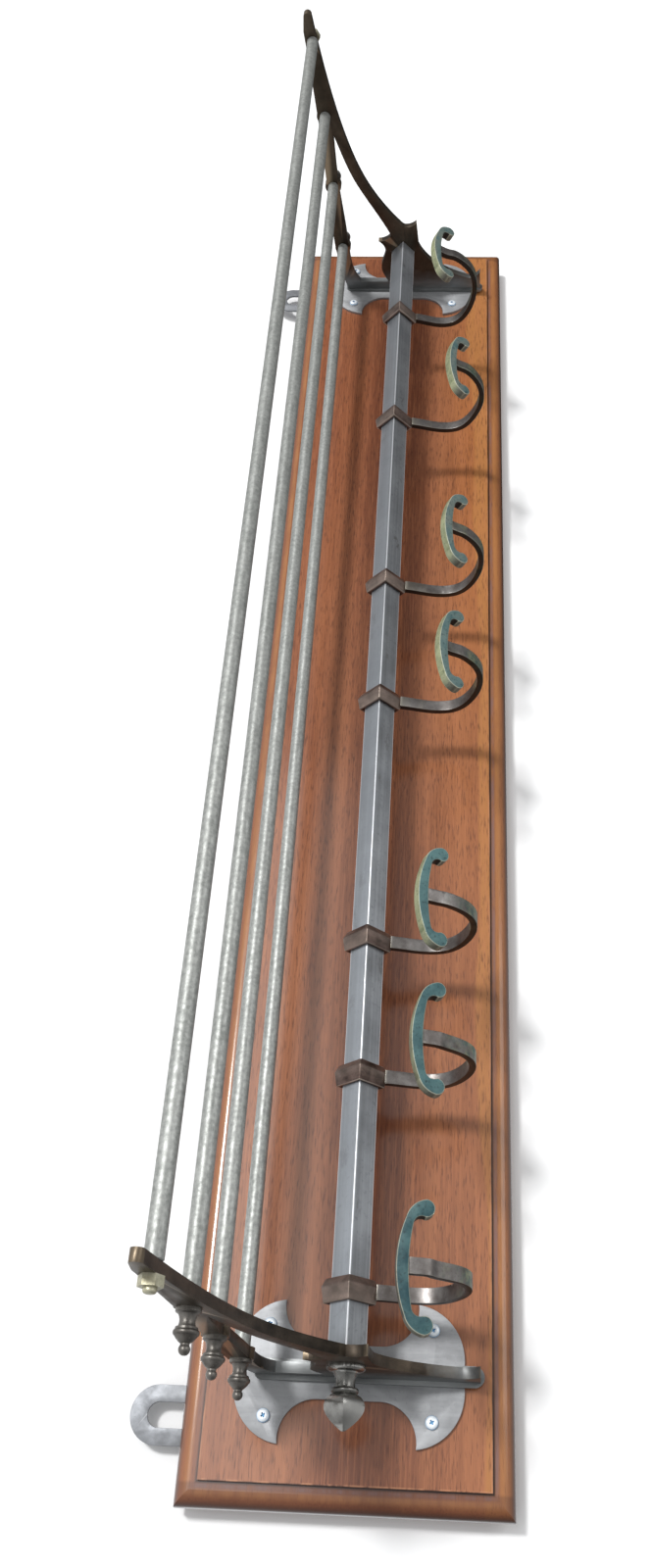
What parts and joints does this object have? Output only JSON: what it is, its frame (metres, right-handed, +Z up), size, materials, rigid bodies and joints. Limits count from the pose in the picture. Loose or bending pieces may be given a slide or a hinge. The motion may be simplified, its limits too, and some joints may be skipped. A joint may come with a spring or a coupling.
{
  "type": "wall coat and hat rack",
  "caption": "Long wall rack: a moulded wooden board carrying two scrolled brackets, a shelf of round rods for hats and a square rail with sliding coat hooks.",
  "frame": {"origin": "centre of the board's back face, where the rack meets the wall", "axes": "+X along the rack to its right end as seen from the room, +Y into the wall, +Z up"},
  "size_m": [1.46, 0.359, 0.287],
  "materials": {
    "board_wood": "satin varnish",
    "hanger_steel": "galvanised",
    "screw_zinc": "bright zinc",
    "plate_steel": "brushed, lacquered",
    "bracket_iron": "dark brown patina",
    "rod_steel": "pitted bright",
    "rail_steel": "draw-polished",
    "finial_bronze": "dark patina",
    "nut_brass": "pale, dull",
    "collar_bronze": "dark patina",
    "arm_bronze": "worn patina",
    "crossbar_bronze": "green patina, rubbed edges"
  },
  "bodies": {
    "frame": {"backboard": "board_wood", "bracket_left": "bracket_iron", "bracket_right": "bracket_iron", "hanger_left": "hanger_steel", "hanger_right": "hanger_steel", "hanger_screws": "screw_zinc", "hat_rod_1": "rod_steel", "hat_rod_2": "rod_steel", "hat_rod_3": "rod_steel", "hat_rod_4": "rod_steel", "hook_rail": "rail_steel", "plate_screws_left": "screw_zinc", "plate_screws_right": "screw_zinc", "rail_finial_left": "finial_bronze", "rail_finial_right": "finial_bronze", "rod_finial_left_2": "finial_bronze", "rod_finial_left_3": "finial_bronze", "rod_finial_left_4": "finial_bronze", "rod_finial_right_2": "finial_bronze", "rod_finial_right_3": "finial_bronze", "rod_finial_right_4": "finial_bronze", "rod_nut_left": "nut_brass", "rod_nut_right": "nut_brass", "wall_plate_left": "plate_steel", "wall_plate_right": "plate_steel"},
    "hook_1": {"hook_1_collar": "collar_bronze", "hook_1_arm": "arm_bronze", "hook_1_crossbar": "crossbar_bronze"},
    "hook_2": {"hook_2_collar": "collar_bronze", "hook_2_arm": "arm_bronze", "hook_2_crossbar": "crossbar_bronze"},
    "hook_3": {"hook_3_collar": "collar_bronze", "hook_3_arm": "arm_bronze", "hook_3_crossbar": "crossbar_bronze"},
    "hook_4": {"hook_4_collar": "collar_bronze", "hook_4_arm": "arm_bronze", "hook_4_crossbar": "crossbar_bronze"},
    "hook_5": {"hook_5_collar": "collar_bronze", "hook_5_arm": "arm_bronze", "hook_5_crossbar": "crossbar_bronze"},
    "hook_6": {"hook_6_collar": "collar_bronze", "hook_6_arm": "arm_bronze", "hook_6_crossbar": "crossbar_bronze"},
    "hook_7": {"hook_7_collar": "collar_bronze", "hook_7_arm": "arm_bronze", "hook_7_crossbar": "crossbar_bronze"}
  },
  "joints": [
    {"name": "hook_1_slide", "type": "slide", "parent": "frame", "child": "hook_1", "axis": [1, 0, 0], "range_m": [-0.032, 0.0375]},
    {"name": "hook_2_slide", "type": "slide", "parent": "frame", "child": "hook_2", "axis": [1, 0, 0], "range_m": [-0.0375, 0.0145]},
    {"name": "hook_3_slide", "type": "slide", "parent": "frame", "child": "hook_3", "axis": [1, 0, 0], "range_m": [-0.0145, 0.0825]},
    {"name": "hook_4_slide", "type": "slide", "parent": "frame", "child": "hook_4", "axis": [1, 0, 0], "range_m": [-0.0825, 0.0285]},
    {"name": "hook_5_slide", "type": "slide", "parent": "frame", "child": "hook_5", "axis": [1, 0, 0], "range_m": [-0.0285, 0.0765]},
    {"name": "hook_6_slide", "type": "slide", "parent": "frame", "child": "hook_6", "axis": [1, 0, 0], "range_m": [-0.0765, 0.046]},
    {"name": "hook_7_slide", "type": "slide", "parent": "frame", "child": "hook_7", "axis": [1, 0, 0], "range_m": [-0.046, 0.119]}
  ]
}
